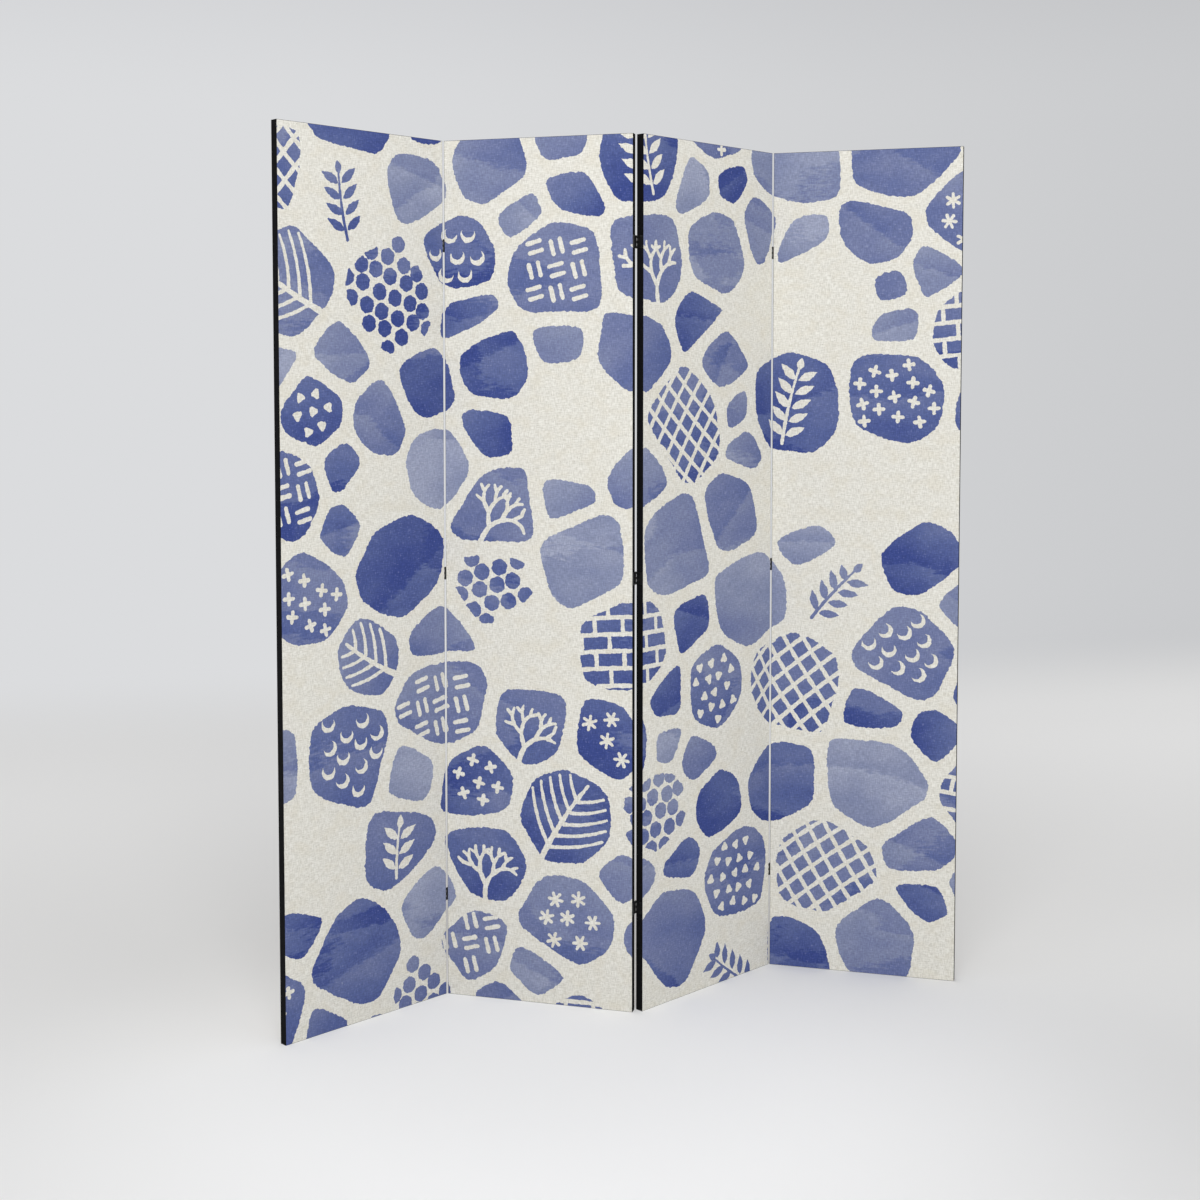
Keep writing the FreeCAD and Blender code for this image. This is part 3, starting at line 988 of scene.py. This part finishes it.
def canvas(number, outlines, materials):
    """One panel's cloth: printed front, near-black wrapped edges and turned-over margins."""
    left = (number - 1) * WIDTH
    flat, faces, looks, low, high = front_faces(outlines, left)
    edge = border(flat, faces, low, high)
    edge_points, sides = [flat[index] for index, _ in edge], [side for _, side in edge]
    profile = edge_profile()
    cloth = Cloth()
    numbers = add_front(cloth, flat, faces, left)
    first_ring = [numbers[index] for index, _ in edge]
    rings = edge_rings(cloth, first_ring, edge_points, profile, low, high)
    add_wrapping(cloth, edge_points, sides, rings, profile, left)
    add_corner_folds(cloth, left)

    place = panel_place(number)
    points = [place @ point for point in cloth.points]
    piece = new_piece(f"panel_{number}_printed_canvas", points, cloth.faces, *materials)
    mesh = piece.data
    mesh.polygons.foreach_set("material_index", cloth.slots)
    for name, corners in ((FLAT_MAP, cloth.flat), (IMAGE_MAP, cloth.image)):
        layer = mesh.uv_layers.new(name=name)
        layer.data.foreach_set("uv", [value for corner in corners for value in corner])
    ink = mesh.attributes.new("ink", "FLOAT_COLOR", "FACE")
    slope = mesh.attributes.new("slope", "FLOAT_VECTOR", "FACE")
    colours, slopes = [], []
    for pebble, painted in looks + [(None, False)] * (len(cloth.faces) - len(looks)):
        if pebble:
            lean = heading(pebble.lean) / pebble.radius
            colours += [float(painted), pebble.tone, pebble.band, 1.0]
            slopes += [lean.x, lean.y, lean.dot(pebble.middle)]
        else:
            colours += UNPAINTED
            slopes += [0.0, 0.0, 0.0]
    ink.data.foreach_set("color", colours)
    slope.data.foreach_set("vector", slopes)
    mesh.validate()
    mesh.update()
    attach(piece, f"panel_{number}")
    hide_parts(f"panel_{number}_canvas")
    frame_members = [f"panel_{number}_{member}" for member in MEMBERS[:4]]


outlines = designed_print()
# roughness and gloss of the plain cloths
cloth_materials = (
    print_material(),
    plain_cloth_material("canvas_edge", EDGE_BLACK, EDGE_BLACK_LIGHT, 0.88, 0.08),
    plain_cloth_material("canvas_back", RAW_CLOTH_DARK, RAW_CLOTH_LIGHT, 0.90, 0.25),
)
for number in PANELS:
    canvas(number, outlines, cloth_materials)


# Timber
# Spots to the metre of the pine's noises, across the grain and along it.
RING_SPOTS, FIBRE_SPOTS, CAST_SPOTS = (52.0, 1.6), (260.0, 6.0), (14.0, 0.9)
FIBRES_SHOW, CAST_SHOWS = 0.55, 0.60
GRAIN_SPAN = (0.30, 0.78)
PINE_ROUGHNESS, PINE_GRAIN_DEPTH = 0.62, 0.0003


def timber_material(name, number, upright, offset):
    """Planed pine with its grain along the member."""
    material, tree = new_material(name)
    along_panel = (0, 0, -panel_turn(number))
    own = scaled(tree, own_place(tree), (1, 1, 1), turn=along_panel, shift=offset)

    def spots_of(pair):
        round_it, along_it = pair
        return (round_it, round_it, along_it) if upright else (along_it, round_it, round_it)

    rings = grain(tree, own, spots_of(RING_SPOTS), detail=2.0, distortion=0.6)
    fibres = grain(tree, own, spots_of(FIBRE_SPOTS))
    cast = grain(tree, own, spots_of(CAST_SPOTS), detail=1.0)
    level = varied(tree, varied(tree, rings, fibres, FIBRES_SHOW), cast, CAST_SHOWS)
    colour = mixed(tree, stepped(tree, level, *GRAIN_SPAN), PINE_LIGHT, PINE_DARK)
    finish_surface(tree, colour, PINE_ROUGHNESS, fibres, PINE_GRAIN_DEPTH, gloss=0.35)
    return material


def dress(name, material):
    """Gives a piece of the frame its finish."""
    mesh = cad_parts[name].data
    mesh.materials.clear()
    mesh.materials.append(material)


for number in PANELS:
    for order, member in enumerate(MEMBERS):
        # any offsets that give each member a grain of its own
        offset = (order * 0.37, number * 0.53, order * 0.91 + number * 0.29)
        name = f"panel_{number}_{member}"
        dress(name, timber_material(f"pine_{name}", number, "stile" in member, offset))


# Metal
WORN_SPAN, WORN_SHARE = (0.56, 0.74), 0.6
PATCH_SIZE = 9  # times the grain's
ROUGHNESS_SPREAD = 0.18
METAL_GRAIN_DEPTH = 0.00004


def metal_material(name, base, worn, roughness, metallic, spots_to_metre):
    """Painted or bare metal, with a fine grain and patches where it is rubbed."""
    material, tree = new_material(name)
    place = own_place(tree)
    fine = grain(tree, place, (spots_to_metre,) * 3)
    patch = grain(tree, place, (spots_to_metre / PATCH_SIZE,) * 3, detail=2.0)
    colour = mixed(tree, stepped(tree, patch, *WORN_SPAN, 0.0, WORN_SHARE), base, worn)
    rough = varied(tree, roughness, fine, ROUGHNESS_SPREAD)
    finish_surface(tree, colour, rough, fine, METAL_GRAIN_DEPTH, metallic=metallic)
    return material


# roughness, how metallic, and spots to the metre
hinge_metal = metal_material("hinge_black", HINGE_BLACK, HINGE_WORN, 0.46, 0.0, 1600.0)
pin_metal = metal_material("pin_black", PIN_BLACK, PIN_WORN, 0.36, 0.6, 2200.0)
screw_metal = metal_material("screw_black", SCREW_BLACK, SCREW_WORN, 0.38, 0.5, 2200.0)
staple_wire = metal_material("staple_steel", STEEL, STEEL_DULL, 0.32, 1.0, 1800.0)
for joint in JOINTS:
    for part in ("left_leaves", "right_leaves", "links"):
        dress(f"{joint}_{part}", hinge_metal)
    for part in ("front_pins", "back_pins"):
        dress(f"{joint}_{part}", pin_metal)
    for part in ("left_screws", "right_screws"):
        dress(f"{joint}_{part}", screw_metal)
for number in PANELS:
    dress(f"panel_{number}_staples", staple_wire)


# Floor, backdrop and light
FLOOR_RADIUS, SWEEP_RADIUS, WALL_HEIGHT = 8.0, 2.0, 8.0
TURNS, SWEEP_STEPS = 72, 12
# Spans, in metres across, along, up, outwards or round a place, from one look to the next.
PAINTED_LIGHT_PLACE, PAINTED_LIGHT_SPAN = (-0.24, -0.47), (0.36, 1.25)  # the floor is painted lightest round there, a painted pool of light
LEFT_TO_RIGHT, BEFORE_TO_BESIDE, NEAR_TO_FAR = (-0.8, 1.2), (-1.0, 0.1), (0.2, 2.2)
WALL_SIDE_SPAN, WALL_TOP_SPAN, WALL_OUT_SPAN = (-0.1, 1.0), (3.4, 5.0), (1.0, 1.6)
# Between the first panels the floor glows with painted light, so it keeps less of their shadow.
PAINTED_FOOT_LIGHT_PLACE, PAINTED_FOOT_LIGHT_SPAN, PAINTED_FOOT_LIGHT_SHARE = (-0.34, -0.12), (0.12, 0.66), 0.42
# Its even colour takes over far behind, in front and all round.
EVEN_BEHIND, EVEN_ROUND = (2.6, 4.4), (4.0, 6.5)
EVEN_BEFORE, EVEN_BEFORE_OUT = (-0.5, 0.8), (1.9, 3.6)


def distance_over_floor(tree, across, along, point):
    """How far the shaded place is from a point of the floor, as seen from above."""
    sideways = calc(tree, "SUBTRACT", across, point[0])
    forwards = calc(tree, "SUBTRACT", along, point[1])
    square = calc(tree, "MULTIPLY", forwards, forwards)
    square = calc(tree, "MULTIPLY_ADD", sideways, sideways, square)
    return calc(tree, "SQRT", square)


def stage_material():
    """A matt floor painted for the camera with light and shade: a painted pool of light near the
    front, painted shade at the front right, painted light far off and a painted glow at the first
    panels' feet. And a glowing wall, painted darker to the right and at the top, that begins
    softly.
    """
    material, tree = new_material("stage")
    across, along, height = parts_of(tree, own_place(tree))
    from_painted_light = distance_over_floor(tree, across, along, PAINTED_LIGHT_PLACE)
    to_right = stepped(tree, across, *LEFT_TO_RIGHT)
    # painted shade: before the screen the floor is painted darker on the right, and lighter beside
    # it
    right = mixed(tree, stepped(tree, along, *BEFORE_TO_BESIDE), FLOOR_PAINTED_SHADE_RIGHT, FLOOR_BESIDE)
    floor = mixed(tree, to_right, FLOOR_LEFT, right)
    # painted light: a pool of light painted on the floor before the panels
    floor = mixed(tree, stepped(tree, from_painted_light, *PAINTED_LIGHT_SPAN), FLOOR_PAINTED_LIGHT, floor)
    # painted light: the far floor is painted lighter, where the lamps light it less
    far = mixed(tree, to_right, FAR_FLOOR_PAINTED_LIGHT_LEFT, FAR_FLOOR_PAINTED_LIGHT_RIGHT)
    floor = mixed(tree, stepped(tree, along, *NEAR_TO_FAR), floor, far)
    outwards = distance_over_floor(tree, across, along, (0.0, 0.0))
    side = calc(tree, "DIVIDE", across, calc(tree, "MAXIMUM", outwards, 0.5))
    # painted shade: the wall is painted darker to the right and towards the top
    wall = mixed(tree, stepped(tree, side, *WALL_SIDE_SPAN), WALL_LEFT, WALL_PAINTED_SHADE_RIGHT)
    wall = mixed(tree, stepped(tree, height, *WALL_TOP_SPAN), wall, WALL_TOP_PAINTED_SHADE, "MULTIPLY")
    # the glow's colour: painted light at the panels' feet, the wall's colour farther out
    shown = mixed(tree, stepped(tree, outwards, *WALL_OUT_SPAN), FLOOR_FOOT_PAINTED_LIGHT, wall)

    rays = tree.nodes.new("ShaderNodeLightPath")
    direct = calc(tree, "MAXIMUM", rays.outputs["Is Camera Ray"], rays.outputs["Is Glossy Ray"])
    surface = tree.nodes.new("ShaderNodeBsdfDiffuse")
    plug(tree, surface.inputs["Color"], mixed(tree, direct, BACKDROP, floor))
    even = tree.nodes.new("ShaderNodeEmission")
    plug(tree, even.inputs["Color"], shown)
    # painted light: the floor glows near the first panels' feet and keeps less of their shadow
    from_painted_foot_light = distance_over_floor(tree, across, along, PAINTED_FOOT_LIGHT_PLACE)
    foot = stepped(tree, from_painted_foot_light, *PAINTED_FOOT_LIGHT_SPAN, PAINTED_FOOT_LIGHT_SHARE, 0.0)
    behind = calc(tree, "MAXIMUM", foot, stepped(tree, along, *EVEN_BEHIND))
    in_front = stepped(tree, along, *EVEN_BEFORE, 1.0, 0.0)
    in_front = calc(tree, "MULTIPLY", in_front, stepped(tree, outwards, *EVEN_BEFORE_OUT))
    all_round = calc(tree, "MAXIMUM", in_front, stepped(tree, outwards, *EVEN_ROUND))
    share = calc(tree, "MULTIPLY", calc(tree, "MAXIMUM", behind, all_round), direct)
    both = tree.nodes.new("ShaderNodeMixShader")
    for socket, value in zip(both.inputs, (share, surface.outputs[0], even.outputs[0])):
        plug(tree, socket, value)
    output = tree.nodes.new("ShaderNodeOutputMaterial")
    plug(tree, output.inputs["Surface"], both.outputs[0])
    return material


def turned(name, line, material):
    """A surface turned about the upright axis from a line of radii and heights."""
    points, faces = [], []
    for radius, height in line:
        for n in range(TURNS):
            angle = math.tau * n / TURNS
            points.append((radius * math.cos(angle), radius * math.sin(angle), height))
    for row in range(len(line) - 1):
        for n in range(TURNS):
            a, b = row * TURNS + n, row * TURNS + (n + 1) % TURNS
            faces.append((a, b, b + TURNS, a + TURNS))
    piece = new_piece(name, points, faces, material)
    piece.data.polygons.foreach_set("use_smooth", [True] * len(faces))
    return piece


def stage():
    """A round pale floor, and a wall that curves up from it and lets the light of the sky by."""
    paint = stage_material()
    turned("floor", [(0.001, 0.0), (FLOOR_RADIUS, 0.0)], paint)
    line = []
    for number in range(SWEEP_STEPS + 1):
        angle = math.pi / 2 * number / SWEEP_STEPS
        radius = FLOOR_RADIUS + SWEEP_RADIUS * math.sin(angle)
        line.append((radius, SWEEP_RADIUS * (1 - math.cos(angle))))
    line.append((FLOOR_RADIUS + SWEEP_RADIUS, WALL_HEIGHT))
    wall = turned("wall", line, paint)
    wall.visible_diffuse = False
    wall.visible_shadow = False


def aimed(piece, place, target):
    """Puts a lamp or camera in its place, turned to a target."""
    piece.location = place
    piece.rotation_euler = (Vector(target) - Vector(place)).to_track_quat("-Z", "Y").to_euler()
    bpy.context.scene.collection.objects.link(piece)


def soft_lamp(name, place, target, size, power):
    lamp = bpy.data.lights.new(name, "AREA")
    lamp.size = size
    lamp.energy = power
    aimed(bpy.data.objects.new(name, lamp), place, target)


SKY_STRENGTH = 0.67


def studio_light():
    """An even white sky, a wide soft lamp from the front left and a weak one from the right."""
    world = bpy.data.worlds.new("studio")
    world.use_nodes = True
    background = world.node_tree.nodes["Background"]
    background.inputs["Color"].default_value = (1.0, 1.0, 1.0, 1.0)
    background.inputs["Strength"].default_value = SKY_STRENGTH
    bpy.context.scene.world = world
    middle = (0.0, 0.0, 0.9)
    soft_lamp("key", (-1.3, -4.0, 3.5), middle, size=3.2, power=112.0)
    soft_lamp("fill", (3.0, -4.6, 2.8), middle, size=3.0, power=17.0)


stage()
studio_light()

# Camera
EYE = Vector((-0.9192, -3.3649, 1.287))
EYE_HEADING, EYE_DOWN = math.radians(14.462), math.radians(3.133)
LENS, SENSOR, SHIFT_Y = 50.0, 36.0, -0.10

camera = bpy.data.cameras.new("camera")
camera.lens, camera.sensor_width, camera.shift_y = LENS, SENSOR, SHIFT_Y
ahead = Vector((
    math.sin(EYE_HEADING) * math.cos(EYE_DOWN),
    math.cos(EYE_HEADING) * math.cos(EYE_DOWN),
    -math.sin(EYE_DOWN),
))
eye = bpy.data.objects.new("camera", camera)
aimed(eye, EYE, EYE + ahead)
bpy.context.scene.camera = eye
bpy.context.scene.view_settings.view_transform = "Standard"
